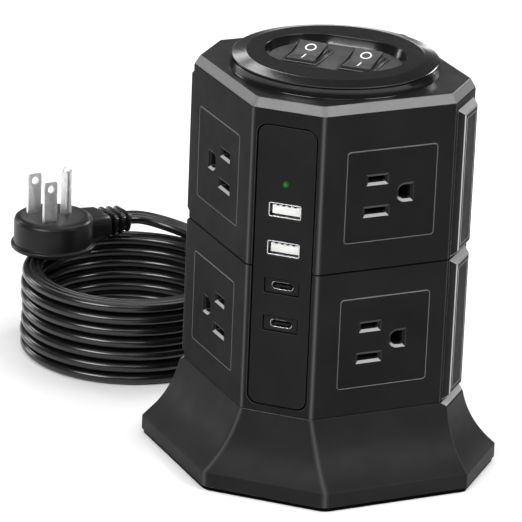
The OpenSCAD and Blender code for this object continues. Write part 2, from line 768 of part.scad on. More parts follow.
base_shell();
base_plate();
foot_pads();
base_screws();
tier_screws();
lower_tier_shell();
upper_tier_shell();
top_cover();
outlet(front_right, lower_outlet_z);  // outlet_front_right_lower
outlet(front_right, upper_outlet_z);  // outlet_front_right_upper
outlet(front_left, lower_outlet_z);  // outlet_front_left_lower
outlet(front_left, upper_outlet_z);  // outlet_front_left_upper
outlet(back_right, lower_outlet_z);  // outlet_back_right_lower
outlet(back_right, upper_outlet_z);  // outlet_back_right_upper
outlet(back_left, lower_outlet_z);  // outlet_back_left_lower
outlet(back_left, upper_outlet_z);  // outlet_back_left_upper
hot_clips();
neutral_clips();
ground_clips();
hot_bus();
neutral_bus();
ground_bus();
corner_cover(315, 0);  // corner_cover_right_lower
corner_cover(315, 1);  // corner_cover_right_upper
corner_cover(135, 0);  // corner_cover_left_lower
corner_cover(135, 1);  // corner_cover_left_upper
corner_cover(45, 0);  // corner_cover_back_lower
corner_cover(45, 1);  // corner_cover_back_upper
usb_panel();
usb_a_port(3);  // usb_a_port_top
usb_a_port(2);  // usb_a_port_bottom
usb_a_tongues();
usb_c_port(1);  // usb_c_port_top
usb_c_port(0);  // usb_c_port_bottom
usb_c_tongues();
usb_c_frames();
led_lens();
usb_board();
surge_board();
varistors();
collar_ring();
bezel_ring();
switch_tray();
switch_body(-1);  // switch_body_left
switch_body(1);  // switch_body_right
rocker(-1);  // rocker_left
rocker(1);  // rocker_right
switch_terminals();
circuit_breaker();
reset_button();
wire_harness();
cord_gland();
cord_lead();
cord_coil();
cord_tail();
plug_strain_relief();
plug_body();
plug_blades();
plug_ground_pin();
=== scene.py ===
"""Looks of the power strip tower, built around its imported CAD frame.

The frame is in metres, +Z up. Shapes are worked out in millimetres, as in the part's source,
and scaled by MM when they are placed.
"""
import json
from math import cos, pi, radians, sin, sqrt, tan

import bmesh
import bpy
from mathutils import Matrix, Vector


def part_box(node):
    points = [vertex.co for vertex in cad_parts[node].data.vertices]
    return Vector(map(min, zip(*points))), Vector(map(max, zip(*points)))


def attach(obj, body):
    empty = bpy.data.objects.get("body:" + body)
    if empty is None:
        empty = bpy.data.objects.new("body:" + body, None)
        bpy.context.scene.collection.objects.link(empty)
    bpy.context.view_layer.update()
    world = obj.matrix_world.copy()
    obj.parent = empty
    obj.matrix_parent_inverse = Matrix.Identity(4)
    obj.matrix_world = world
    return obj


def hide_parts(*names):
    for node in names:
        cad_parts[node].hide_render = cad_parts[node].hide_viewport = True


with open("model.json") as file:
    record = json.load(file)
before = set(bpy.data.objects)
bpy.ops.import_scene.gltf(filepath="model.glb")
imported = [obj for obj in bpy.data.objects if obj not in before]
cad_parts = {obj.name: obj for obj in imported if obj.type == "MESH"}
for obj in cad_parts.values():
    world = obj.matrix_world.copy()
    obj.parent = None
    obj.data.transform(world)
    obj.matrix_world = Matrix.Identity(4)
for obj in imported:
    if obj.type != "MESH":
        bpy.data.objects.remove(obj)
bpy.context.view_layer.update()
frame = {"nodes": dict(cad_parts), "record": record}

MM = 0.001


def low(node):
    """Lowest corner of a CAD node, in millimetres."""
    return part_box(node)[0] / MM


def high(node):
    """Highest corner of a CAD node, in millimetres."""
    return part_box(node)[1] / MM


def middle(node, axis):
    """Middle of a CAD node along an axis, in millimetres."""
    return (getattr(low(node), axis) + getattr(high(node), axis)) / 2


def added(name, data):
    """A new object in the scene."""
    made = bpy.data.objects.new(name, data)
    bpy.context.scene.collection.objects.link(made)
    return made


# Column and base: what the frame tells, then what it doesn't
COL_HALF = high("lower_tier_shell").x
BASE_HALF = high("base_shell").x
BASE_TOP = low("lower_tier_shell").z
SKIRT_Z = low("base_shell").z
SPLIT_Z = (high("lower_tier_shell").z + low("upper_tier_shell").z) / 2
SHOULDER_Z = high("upper_tier_shell").z
COL_TOP = high("top_cover").z
COLLAR_R = high("collar_ring").x
COLLAR_TOP = high("collar_ring").z
TRAY_Z = low("bezel_ring").z
RING_TOP = high("bezel_ring").z
NEAR_HALF = 25.6
FAR_HALF = 29.6
BASE_NEAR = 25.0
BASE_FAR = 36.0
SKIRT_TOP = 7.8
FLARE_SAG = 0.085
FRONT_ROUND = 3.9
LEDGE = 2.6
LEDGE_DROP = 2.0
WALL = 2.4
CHAMFER_IN = 2.1
USB_CORNER = 225
SIDES = (225, 270, 315, 0, 45, 90, 135, 180)
SEAM = 0.6

# Outlets: face angle, sideways place and the way its ground hole lies
OUTLET_FACES = {
    "front_right": (270, 3.7, 1),
    "front_left": (180, -3.7, -1),
    "back_right": (0, 0.0, 1),
    "back_left": (90, 0.0, -1),
}
OUTLET_LEVELS = {"lower": 62.5, "upper": 122.0}
# The bead round an outlet: width, corner radius and distance from the face
OUTLET_RIM = ((37.9, 1.4, -0.6), (37.9, 1.4, 0.02), (37.65, 1.3, 0.12), (37.4, 1.2, 0.02),
              (37.4, 1.2, -0.6))
BLADE_PITCH = 12.7
GROUND_PITCH = 11.9

# Cord: its section, coil and routes, as in the part's source
CORD_T = 5.0
RIB_PITCH = 2.3
SIDE_RIB = 2.1
MIDDLE_RIB = 2.3
COIL_CENTRE = Vector((-30, 124))
COIL_R = 40.5
COIL_PITCH = 5.2
COIL_START = 60
COIL_END = 2528
LEAD_ROUTE = [(26, 91, 8), (26, 95, 7.8), (26, 99, 7.1), (25.8, 103, 6), (25.5, 107, 4.8),
              (24.8, 112, 3.5), (23.5, 117.5, 2.7), (21.7, 123, 2.5), (19.5, 128.5, 2.5),
              (16.7, 134, 2.5), (13.4, 139.2, 2.5), (8.8, 144.8, 2.5), (3.2, 150.3, 2.5),
              (-3, 155.2, 2.5)]
TAIL_ROUTE = [(10.4, 130, 38.9), (9.2, 138, 38.9), (6.6, 145.5, 39.1), (2.5, 152.3, 39.8),
              (-1.3, 156.4, 40.6), (-5.8, 159.5, 41.6), (-11, 161.1, 42.6), (-16.5, 161.3, 43)]
PLUG_AT = (-52, 155, 36.4)
PLUG_HEADING = 10
CORD_RISE = 6.6


# ---------- camera

def make_camera():
    """The camera at the photograph's viewing angle, through a long lens."""
    azimuth, elevation, roll = (radians(a) for a in (-25.087, 20.444, 2.39))
    target = Vector((-0.0279, 0, 0.0821))
    distance = 1.6649
    back = Vector((sin(azimuth) * cos(elevation),
                   -cos(azimuth) * cos(elevation), sin(elevation)))
    right = Vector((cos(azimuth), sin(azimuth), 0))
    up = back.cross(right)
    across = right * cos(roll) + up * sin(roll)
    upright = up * cos(roll) - right * sin(roll)
    data = bpy.data.cameras.new("camera")
    data.lens = 296
    data.sensor_width = 36
    data.clip_start = 0.1
    data.clip_end = 20
    camera = added("camera", data)
    turn = Matrix((across, upright, back)).transposed().to_4x4()
    camera.matrix_world = Matrix.Translation(target + back * distance) @ turn
    bpy.context.scene.camera = camera


# ---------- materials

class Look:
    """A procedural material, built node by node around a Principled shader."""

    def __init__(self, name, color, roughness, specular=0.3, metallic=0.0):
        self.material = bpy.data.materials.new(name)
        self.material.use_nodes = True
        self.tree = self.material.node_tree
        self.shader = self.tree.nodes["Principled BSDF"]
        self.shader.inputs["Base Color"].default_value = (*color, 1)
        self.shader.inputs["Roughness"].default_value = roughness
        self.shader.inputs["Specular IOR Level"].default_value = specular
        self.shader.inputs["Metallic"].default_value = metallic
        self.name = name
        self.color = color
        self.roughness = roughness
        self.coordinates = self.node("ShaderNodeTexCoord")
        self.place = self.coordinates.outputs["Object"]
        self.normal = None

    def node(self, kind, **settings):
        made = self.tree.nodes.new(kind)
        for key, value in settings.items():
            setattr(made, key, value)
        return made

    def link(self, a, b):
        self.tree.links.new(a, b)

    def noise(self, size, detail=2.0, rough=0.5, stretch=(1, 1, 1)):
        """Noise whose features are about size metres across."""
        mapping = self.node("ShaderNodeMapping")
        mapping.inputs["Scale"].default_value = stretch
        self.link(self.place, mapping.inputs["Vector"])
        made = self.node("ShaderNodeTexNoise")
        made.inputs["Scale"].default_value = 1 / size
        made.inputs["Detail"].default_value = detail
        made.inputs["Roughness"].default_value = rough
        self.link(mapping.outputs["Vector"], made.inputs["Vector"])
        return made.outputs["Fac"]

    def span(self, fac, *limits):
        """Maps a range (its low and high) to another one."""
        made = self.node("ShaderNodeMapRange")
        for key, value in zip(("From Min", "From Max", "To Min", "To Max"), limits):
            made.inputs[key].default_value = value
        self.link(fac, made.inputs["Value"])
        return made.outputs["Result"]

    def tint(self, fac, dark=0.8, light=1.25):
        """Varies the colour between a darker and a lighter tone of itself."""
        ramp = self.node("ShaderNodeValToRGB")
        for stop, share in zip(ramp.color_ramp.elements, (dark, light)):
            stop.color = (*(min(c * share, 1) for c in self.color), 1)
        ramp.color_ramp.elements[0].position = 0.3
        ramp.color_ramp.elements[1].position = 0.7
        self.link(fac, ramp.inputs["Fac"])
        self.paint = ramp.outputs["Color"]
        self.link(self.paint, self.shader.inputs["Base Color"])
        return self

    def directions(self):
        """The sizes of the normal's three parts, and how near it lies to a diagonal of X and Y."""
        normal = self.node("ShaderNodeVectorMath", operation="ABSOLUTE")
        self.link(self.coordinates.outputs["Normal"], normal.inputs[0])
        parts = self.node("ShaderNodeSeparateXYZ")
        self.link(normal.outputs["Vector"], parts.inputs["Vector"])
        x, y, z = (parts.outputs[axis] for axis in "XYZ")
        diagonal = self.math("MULTIPLY", self.math("ADD", x, y), sqrt(0.5))
        return x, y, z, diagonal

    def level_size(self, x, y):
        """How much of the normal is level."""
        squares = self.math("ADD", self.math("MULTIPLY", x, x), self.math("MULTIPLY", y, y))
        return self.math("SQRT", squares, 0.0)

    def painted_edge_highlight(self, color):
        """Painted highlight: a paler tone where the surface turns away from the column's flat directions,
        standing in for the light that chamfers and bevels catch.
        """
        x, y, z, diagonal = self.directions()
        squareness = self.math("MAXIMUM", self.math("MAXIMUM", self.math("MAXIMUM", x, y), diagonal), z)
        return self.over(color, self.span(squareness, 0.985, 0.93, 0, 1))

    def painted_corner_highlight(self, color):
        """Painted highlight: a paler tone on the column's upright corners, whichever way they lean, standing
        in for the light the rounded corners catch.
        """
        x, y, _, diagonal = self.directions()
        squareness = self.math("MAXIMUM", self.math("MAXIMUM", x, y), diagonal)
        squareness = self.math("DIVIDE", squareness, self.level_size(x, y))
        return self.over(color, self.span(squareness, 0.998, 0.93, 0, 1))

    def painted_ledge_light(self, color):
        """Painted highlight: a paler tone on the sloped ledge under each corner cover, about 40 degrees
        steep, standing in for the light it catches from above.
        """
        x, y, z, diagonal = self.directions()
        corner = self.span(self.math("DIVIDE", diagonal, self.level_size(x, y)), 0.97, 0.99, 0, 1)
        return self.over(color, self.math("MULTIPLY", self.slope(z, 0.73, 0.77, 0.81, 0.85), corner))

    def painted_sill_highlight(self, color):
        """Painted highlight: a paler tone on slopes that face up and outwards, such as the lower bevel of
        each slot, standing in for the light they catch from above.
        """
        parts = self.node("ShaderNodeSeparateXYZ")
        self.link(self.coordinates.outputs["Normal"], parts.inputs["Vector"])
        return self.over(color, self.slope(parts.outputs["Z"], 0.2, 0.45, 0.7, 0.85))

    def slope(self, z, start, full, fade, end):
        """A share that rises from start to full and falls again from fade to end."""
        return self.math("MULTIPLY", self.span(z, start, full, 0, 1), self.span(z, fade, end, 1, 0))

    def over(self, color, share):
        """Mixes a plain colour over the colour so far."""
        mix = self.node("ShaderNodeMix", data_type="RGBA")
        mix.inputs[7].default_value = (*color, 1)
        self.link(share, mix.inputs[0])
        self.link(self.paint, mix.inputs[6])
        self.paint = mix.outputs[2]
        self.link(self.paint, self.shader.inputs["Base Color"])
        return self

    def math(self, operation, a, b):
        made = self.node("ShaderNodeMath", operation=operation)
        for value, entry in zip((a, b), made.inputs):
            if isinstance(value, float):
                entry.default_value = value
            else:
                self.link(value, entry)
        return made.outputs["Value"]

    def polish(self, fac, change):
        """Varies the roughness by this much either way."""
        out = self.span(fac, 0.3, 0.7, self.roughness - change, self.roughness + change)
        self.link(out, self.shader.inputs["Roughness"])
        return self

    def bump(self, height, strength, depth):
        """Adds relief, depth metres deep, on top of what is there."""
        made = self.node("ShaderNodeBump")
        made.inputs["Strength"].default_value = strength
        made.inputs["Distance"].default_value = depth
        self.link(height, made.inputs["Height"])
        if self.normal:
            self.link(self.normal, made.inputs["Normal"])
        self.normal = made.outputs["Normal"]
        self.link(self.normal, self.shader.inputs["Normal"])
        return self


def moulded(name, color, roughness, specular=0.3, grain=0.0005, relief=0.25):
    """Moulded plastic: a fine sparked grain, soft cloudiness and a few worn patches of different gloss."""
    look = Look(name, color, roughness, specular)
    look.tint(look.noise(0.02, 4, 0.6), 0.86, 1.16)
    look.polish(look.noise(0.009, 5, 0.65), 0.05)
    look.bump(look.noise(grain, 3, 0.6), relief, 0.00006)
    return look


def glossy(name, color, roughness, specular=0.5):
    """Polished plastic with faint waviness and hairline scuffs."""
    look = Look(name, color, roughness, specular)
    look.tint(look.noise(0.015, 3), 0.9, 1.12)
    look.polish(look.noise(0.0015, 4, 0.7, (1, 0.15, 1)), 0.03)
    look.bump(look.noise(0.012, 2), 0.05, 0.00015)
    return look


def rubber(name, color, roughness, specular=0.4):
    """Flexible plastic with a soft orange-peel skin and dusty patches."""
    look = Look(name, color, roughness, specular)
    look.tint(look.noise(0.01, 4, 0.6), 0.85, 1.2)
    look.polish(look.noise(0.012, 3, 0.5), 0.03)
    look.bump(look.noise(0.0008, 2, 0.5), 0.05, 0.00003)
    return look


def metal(name, color, roughness, brushed=(1, 1, 1)):
    """Plated or stamped metal with drawn streaks and small tarnish."""
    look = Look(name, color, roughness, 0.5, 1.0)
    look.tint(look.noise(0.003, 4, 0.6), 0.82, 1.06)
    look.polish(look.noise(0.0006, 3, 0.6, brushed), 0.06)
    look.bump(look.noise(0.0007, 2, 0.5, brushed), 0.05, 0.00002)
    return look


def board(name, color):
    """Solder mask over faint copper tracks."""
    look = Look(name, color, 0.35, 0.5)
    brick = look.node("ShaderNodeTexBrick")
    brick.inputs["Scale"].default_value = 160
    brick.inputs["Color1"].default_value = (*color, 1)
    brick.inputs["Color2"].default_value = (*(c * 0.75 for c in color), 1)
    brick.inputs["Mortar"].default_value = (*(c * 1.9 for c in color), 1)
    look.link(look.place, brick.inputs["Vector"])
    look.link(brick.outputs["Color"], look.shader.inputs["Base Color"])
    look.polish(look.noise(0.002, 3), 0.06)
    look.bump(brick.outputs["Fac"], 0.3, 0.00003)
    return look


def lamp(name, color, strength, centre, core, rim):
    """Translucent coloured plastic, lit from behind: brightest in a cloudy core round its centre."""
    look = Look(name, color, 0.3, 0.1)
    look.shader.inputs["Emission Color"].default_value = (*color, 1)
    away = look.node("ShaderNodeVectorMath", operation="DISTANCE")
    look.link(look.place, away.inputs[0])
    away.inputs[1].default_value = centre
    glow = look.span(away.outputs["Value"], core, rim, strength, 0)
    cloud = look.span(look.noise(0.0012, 2), 0.3, 0.7, 0.7, 1.3)
    look.link(look.math("MULTIPLY", glow, cloud), look.shader.inputs["Emission Strength"])
    look.bump(look.noise(0.0005, 2), 0.1, 0.00002)
    return look


def grey(level, blue):
    """A near-neutral colour."""
    return level, level, blue


def make_looks():
    """A material for each slot of the record, and three more: base, outlet rims (a grey painted edge
    highlight), rocker marks.
    """
    black = grey(0.01, 0.0103)
    steel_streaks = (1, 1, 0.2)
    led_at = on_panel(LED_Z).translation * MM
    looks = [
        # The paler second tone of matte_black and base_black is a painted highlight on rounded upright
        # corners.
        moulded("matte_black", black, 0.48, 0.03).painted_corner_highlight(grey(0.065, 0.0655)),
        moulded("base_black", grey(0.0122, 0.0125), 0.45, 0.06).painted_corner_highlight(grey(0.05, 0.0505)),
        # The paler second tone of the next four materials is a painted highlight on chamfers and bevels.
        moulded("satin_black", grey(0.007, 0.0072), 0.38, 0.15).painted_edge_highlight(grey(0.135, 0.136)),
        moulded("cover_black", black, 0.5, 0.04).painted_edge_highlight(grey(0.22, 0.222)),
        moulded("outlet_black", grey(0.009, 0.0092), 0.5, 0.03).painted_edge_highlight(grey(0.06, 0.0605)),
        moulded("panel_black", grey(0.009, 0.0092), 0.4, 0.06).painted_edge_highlight(grey(0.03, 0.03)),
        # Nearly black, darker than the other blacks: painted shade under the skirt.
        moulded("plate_black", grey(0.0012, 0.0012), 0.6, 0.02),
        rubber("rubber_foot", grey(0.012, 0.012), 0.7, 0.25),
        metal("screw_steel", grey(0.5, 0.51), 0.35, steel_streaks),
        # Brass darkened far below its own tone: painted shade for the contacts deep in the slots and ports.
        metal("contact_brass", (0.05, 0.035, 0.016), 0.5, steel_streaks),
        metal("port_metal", grey(0.6, 0.61), 0.28, (0.2, 1, 1)),
        glossy("white_tongue", grey(0.62, 0.6), 0.4),
        lamp("led_green", (0.003, 0.06, 0.006), 4.5, led_at, 0.0002, 0.0010),
        board("board_green", (0.02, 0.14, 0.05)),
        glossy("varistor_blue", (0.03, 0.09, 0.34), 0.4),
        glossy("gloss_bezel", grey(0.005, 0.0053), 0.16, 0.4),
        moulded("tray_black", grey(0.058, 0.059), 0.4, 0.15),
        # The paler second tone here is a painted highlight on the flange's bevels.
        moulded("switch_black", grey(0.012, 0.0122), 0.3, 0.25).painted_edge_highlight(grey(0.12, 0.121)),
        moulded("rocker_black", grey(0.042, 0.043), 0.34, 0.4, 0.0003, 0.12),
        moulded("breaker_black", grey(0.014, 0.014), 0.45, 0.3),
        glossy("button_red", (0.42, 0.012, 0.012), 0.35),
        rubber("wire_white", grey(0.7, 0.68), 0.5),
        rubber("cord_black", grey(0.005, 0.0052), 0.24, 0.55),
        rubber("plug_black", grey(0.007, 0.0072), 0.34, 0.25),
        metal("blade_nickel", grey(0.86, 0.86), 0.4, (1, 1, 0.15)),
        glossy("mark_white", grey(0.75, 0.74), 0.4),
        # A grey that stands for the light caught along the outlet rims: a painted edge highlight.
        moulded("rim_painted_highlight", grey(0.1, 0.101), 0.35, 0.3),
    ]
    by_name = {look.name: look for look in looks}
    # A painted highlight on the base's sloped ledge faces.
    by_name["base_black"].painted_ledge_light(grey(0.24, 0.242))
    # A painted highlight on the corner covers' rounded corners.
    by_name["cover_black"].painted_corner_highlight(grey(0.42, 0.422))
    # A painted highlight on the slots' upward-facing bevels.
    by_name["outlet_black"].painted_sill_highlight(grey(0.3, 0.302))
    return by_name


# ---------- shapes, in millimetres

def solid(points, faces):
    """A loose mesh object with its faces turned outwards."""
    mesh = bpy.data.meshes.new("solid")
    bm = bmesh.new()
    made = [bm.verts.new(p) for p in points]
    for face in faces:
        bm.faces.new([made[i] for i in face])
    bmesh.ops.remove_doubles(bm, verts=bm.verts, dist=1e-5)
    bmesh.ops.dissolve_degenerate(bm, edges=bm.edges, dist=1e-5)
    bmesh.ops.recalc_face_normals(bm, faces=bm.faces)
    bm.to_mesh(mesh)
    bm.free()
    return added("solid", mesh)


def lofted(rings, closed=False):
    """A skin over rings of equally many points, capped at its ends or closed on itself."""
    count = len(rings[0])
    points = [p for ring in rings for p in ring]
    faces = []
    for i in range(len(rings) if closed else len(rings) - 1):
        a, b = i * count, (i + 1) % len(rings) * count
        for k in range(count):
            j = (k + 1) % count
            faces.append((a + k, a + j, b + j, b + k))
    if not closed:
        faces.append(range(count - 1, -1, -1))
        faces.append(range((len(rings) - 1) * count, len(rings) * count))
    return solid(points, faces)


def circle(r, steps=96, centre=(0, 0)):
    """Points round a circle."""
    turns = [2 * pi * k / steps for k in range(steps)]
    return [(centre[0] + r * cos(t), centre[1] + r * sin(t)) for t in turns]


def at(outline, z):
    """An outline lifted to a level."""
    return [(x, y, z) for x, y in outline]


def facing(outline, x):
    """An outline stood on edge at distance x: its first number goes sideways, its second up."""
    return [(x, y, z) for y, z in outline]


def stacked(rings, closed=False):
    """A skin over level outlines: rings are (outline, level)."""
    return lofted([at(outline, z) for outline, z in rings], closed)


def stood(rings, closed=False):
    """A skin over upright outlines: rings are (outline, distance)."""
    return lofted([facing(outline, x) for outline, x in rings], closed)


def prism(outline, z0, z1):
    """A straight solid between two levels."""
    return stacked([(outline, z0), (outline, z1)])


def slab(outline, x0, x1):
    """A straight solid between two distances."""
    return stood([(outline, x0), (outline, x1)])


def tapered(rows):
    """A skin over level rectangles: rows are (width, height, corner radius, level)."""
    return stacked([(rectangle(w, h, r), z) for w, h, r, z in rows])


def lathe(profile, steps=96, closed=False):
    """A turned solid: profile is (radius, level) from one end to the other."""
    return lofted([at(circle(r, steps), z) for r, z in profile], closed)


def rounded(corners, radii, steps=6):
    """An outline, counterclockwise, with its corners turned into arcs."""
    out = []
    for i, corner in enumerate(corners):
        here = Vector(corner)
        before = (Vector(corners[i - 1]) - here).normalized()
        after = (Vector(corners[(i + 1) % len(corners)]) - here).normalized()
        half = before.angle(after) / 2
        centre = here + (before + after).normalized() * radii[i] / sin(half)
        start = here + before * radii[i] / tan(half) - centre
        sweep = pi - 2 * half
        for k in range(steps + 1):
            turn = Matrix.Rotation(sweep * k / steps, 2)
            out.append(tuple(centre + turn @ start))
    return out


def rectangle(w, h, r=0.0, steps=5, centre=(0, 0)):
    """A rectangle, with rounded corners if r is more than 0."""
    x, y = centre
    corners = [(x - w / 2, y - h / 2), (x + w / 2, y - h / 2), (x + w / 2, y + h / 2), (x - w / 2, y + h / 2)]
    return rounded(corners, [r] * 4, steps) if r else corners


def stadium(half, r, steps=32):
    """Two half circles, 2 * half apart, and the straights between them."""
    ends = ((half, -90), (-half, 90))
    return [(x + r * cos(t), r * sin(t)) for x, start in ends
            for t in (radians(start + 180 * k / steps) for k in range(steps + 1))]


def offset(outline, d):
    """A convex counterclockwise outline, moved outwards by d."""
    out = []
    for i, point in enumerate(outline):
        here = Vector(point)
        before = (here - Vector(outline[i - 1])).normalized()
        after = (Vector(outline[(i + 1) % len(outline)]) - here).normalized()
        n1, n2 = Vector((before.y, -before.x)), Vector((after.y, -after.x))
        out.append(tuple(here + (n1 + n2) * d / (1 + n1.dot(n2))))
    return out


def combine(target, tool, how="DIFFERENCE"):
    """Cuts tool out of target, or joins it to it, and removes tool."""
    modifier = target.modifiers.new("combine", "BOOLEAN")
    modifier.operation = how
    modifier.solver = "EXACT"
    modifier.object = tool
    seen = target.evaluated_get(bpy.context.evaluated_depsgraph_get())
    mesh = bpy.data.meshes.new_from_object(seen)
    target.modifiers.clear()
    target.data = mesh
    bpy.data.objects.remove(tool)
    return target


def triangulated(target):
    """Splits the many-sided faces that a cut leaves."""
    bm = bmesh.new()
    bm.from_mesh(target.data)
    bmesh.ops.triangulate(bm, faces=[face for face in bm.faces if len(face.verts) > 4])
    bm.to_mesh(target.data)
    bm.free()
    return target


def joined(*solids):
    """Several separate solids as one object."""
    bm = bmesh.new()
    for part in solids:
        bm.from_mesh(part.data)
        bpy.data.objects.remove(part)
    mesh = bpy.data.meshes.new("joined")
    bm.to_mesh(mesh)
    bm.free()
    return added("joined", mesh)


def moved(part, matrix):
    """Moves a solid's own points, turning its faces back outwards after a mirror."""
    part.data.transform(matrix)
    if matrix.determinant() < 0:
        part.data.flip_normals()
    return part


def spun(degrees, axis):
    """A turn about an axis."""
    return Matrix.Rotation(radians(degrees), 4, axis)


def on_face(angle, along=0.0, z=0.0, distance=0.0):
    """From a face's own frame, X outwards and Y along it, to the row frame."""
    return spun(angle, "Z") @ Matrix.Translation((distance, along, z))


def on_panel(z):
    """From a part's own frame to the USB panel's face, at a level."""
    return on_face(USB_CORNER, 0, z, PANEL_FACE)


def piece(part, name, slot, stands_for=(), body="tower", edge=0.25, segments=2, smooth=34,
          looks_as=None):
    """Finishes a solid: metres, name, material, rounded edges, body and the CAD nodes it shows."""
    part.data.transform(Matrix.Scale(MM, 4))
    part.name = part.data.name = name
    part.data.materials.clear()
    part.data.materials.append(LOOKS[looks_as or slot].material)
    part.data.shade_smooth()
    part.data.set_sharp_from_angle(angle=radians(smooth))
    if edge:
        bevel = part.modifiers.new("edges", "BEVEL")
        bevel.width = edge * MM
        bevel.segments = segments
        bevel.limit_method = "ANGLE"
        bevel.angle_limit = radians(smooth)
        bevel.harden_normals = True
        bevel.use_clamp_overlap = False
    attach(part, body)
    if stands_for:
        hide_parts(*stands_for)
    return part


def shown(part, node, slot, **settings):
    """The piece that shows one CAD node."""
    return piece(part, node + "_finished", slot, [node], **settings)


# ---------- column and base

def octagon(half, near, far, inset=0.0):
    """Corners of the column's outline, counterclockwise from the USB corner's left end."""
    w = half - inset
    a = near - inset * (sqrt(2) - 1)
    b = far - inset * (sqrt(2) - 1)
    return [(-w, -a), (-a, -w), (b, -w), (w, -b), (w, b), (b, w), (-b, w), (-w, b)]


def column_outline(inset=0.0):
    """The column's outline, with its two front edges rounded most."""
    return rounded(octagon(COL_HALF, NEAR_HALF, FAR_HALF, inset), [FRONT_ROUND] * 2 + [0.8] * 6, 8)


def circle_like(outline, r):
    """Points on a circle in the directions of an outline's own points."""
    return [tuple(Vector(p).normalized() * r) for p in outline]


def narrow_distance(half, near_or_far):
    return (half + near_or_far) / sqrt(2)


FAR_DIST = narrow_distance(COL_HALF, FAR_HALF)
USB_DIST = narrow_distance(COL_HALF, NEAR_HALF)


def side_distance(angle, half, near, far):
    if angle % 90 == 0:
        return half
    return narrow_distance(half, near if angle == USB_CORNER else far)


def flare_profile(angle, steps=24):
    """(distance, level) down one side of the base, from its top to the skirt."""
    top = side_distance(angle, COL_HALF, NEAR_HALF, FAR_HALF)
    foot = side_distance(angle, BASE_HALF, BASE_NEAR, BASE_FAR)
    ledge = angle % 90 != 0 and angle != USB_CORNER
    r0, z0 = (top + LEDGE, BASE_TOP - LEDGE_DROP) if ledge else (top, BASE_TOP)
    run, fall = foot - r0, z0 - SKIRT_TOP
    rows = [(top, BASE_TOP)] if ledge else []
    for i in range(steps + 1):
        t = i / steps
        sag = 4 * FLARE_SAG * t * (1 - t)
        rows.append((r0 + run * t - fall * sag, z0 - fall * t - run * sag))
    return rows


def distance_at(profile, z):
    """Distance of a side at a level."""
    for (r0, z0), (r1, z1) in zip(profile, profile[1:]):
        if z1 <= z <= z0:
            return r0 + (r1 - r0) * (z0 - z) / max(z0 - z1, 1e-9)
    return profile[-1][0] if z < profile[-1][1] else profile[0][0]


def meet(angle_a, dist_a, angle_b, dist_b):
    """Where two sides, given by their angles and distances, meet."""
    a, b = radians(angle_a), radians(angle_b)
    det = sin(b - a)
    return ((dist_a * sin(b) - dist_b * sin(a)) / det,
            (dist_b * cos(a) - dist_a * cos(b)) / det)


def base_outline(z, inset=0.0):
    """The base's outline at a level, its front corners rounded more towards the foot."""
    dist = [distance_at(flare_profile(a), z) - inset for a in SIDES]
    corners = [meet(SIDES[i - 1], dist[i - 1], SIDES[i], dist[i]) for i in range(8)]
    spread = (BASE_TOP - z) / (BASE_TOP - SKIRT_Z)
    front = FRONT_ROUND + 2.1 * max(0.0, min(1.0, spread))
    return rounded(corners, [front, front] + [0.9] * 6, 8)


def make_base():
    """The flared base shell with its two bosses at the back."""
    ceiling = BASE_TOP - 3
    levels = [SKIRT_Z, SKIRT_TOP] + [SKIRT_TOP + (BASE_TOP - LEDGE_DROP - SKIRT_TOP) * (k / 16) ** 1.4
                                     for k in range(1, 17)] + [BASE_TOP]
    outer = [at(base_outline(z), z) for z in levels]
    inside = [at(base_outline(z, 3), z) for z in levels if z < ceiling - 1]
    hole = circle_like(base_outline(BASE_TOP), 16)
    roof = [at(hole, BASE_TOP), at(hole, ceiling), at(base_outline(ceiling, 3), ceiling)]
    shell = lofted(outer + roof + inside[::-1], closed=True)
    back = high("base_shell").y
    gland = middle("cord_gland", "x")
    breaker = middle("circuit_breaker", "x")
    for x, top in ((gland, 15), (breaker, 19)):
        centre = (x, (back + 47) / 2)
        wide = rectangle(18, back - 47, 1.5, 4, centre)
        narrow = rectangle(16.4, back - 48.6, 1, 4, centre)
        combine(shell, stacked([(wide, 3), (wide, top - 0.8), (narrow, top)]), "UNION")
    neck = moved(prism(rectangle(12.6, 8.6, 2), 0, 30),
                 Matrix.Translation((gland, 70, 8)) @ spun(90, "X"))
    barrel = moved(lathe([(5.2, 0), (5.2, 30)], 48),
                   Matrix.Translation((breaker, 70, 11)) @ spun(90, "X"))
    combine(shell, neck)
    combine(shell, barrel)
    shown(triangulated(shell), "base_shell", "matte_black", edge=0.5, segments=3, looks_as="base_black")


def make_plate_lip_painted_shade():
    """The low rim of the base plate, nearly black and reaching down to 0.3 mm above the floor: partly the
    plate's own edge, partly painted shade for the dark line under the skirt.
    """
    outer = base_outline(SKIRT_Z, 0.8)
    inner = base_outline(SKIRT_Z, 2.8)
    lip = stacked([(outer, 0.3), (outer, SKIRT_Z), (inner, SKIRT_Z), (inner, 0.3)], closed=True)
    piece(lip, "base_plate_lip_painted_shade", "plate_black", edge=0.1)


def make_tier(name, z0, z1, outlet_z):
    """One tier of the column, with its outlet and panel openings."""
    outline = column_outline()
    inner = column_outline(WALL)
    bore = circle_like(outline, 34)
    rings = [(outline, z0), (outline, z1), (bore, z1), (bore, z1 - 3), (inner, z1 - 3),
             (inner, z0 + 3), (bore, z0 + 3), (bore, z0)]
    shell = stacked(rings, closed=True)
    for angle, along, _ in OUTLET_FACES.values():
        opening = slab(rectangle(38, 37, 1.5), COL_HALF - 12, COL_HALF + 1)
        combine(shell, moved(opening, on_face(angle, along, outlet_z)))
    panel = middle("usb_panel", "z")
    tall = high("usb_panel").z - low("usb_panel").z + 0.9
    opening = slab(rectangle(24.6, tall, 4.3, 8), USB_DIST - 18, USB_DIST + 1)
    combine(shell, moved(opening, on_face(USB_CORNER, 0, panel)))
    shown(shell, name, "matte_black", edge=0.22)


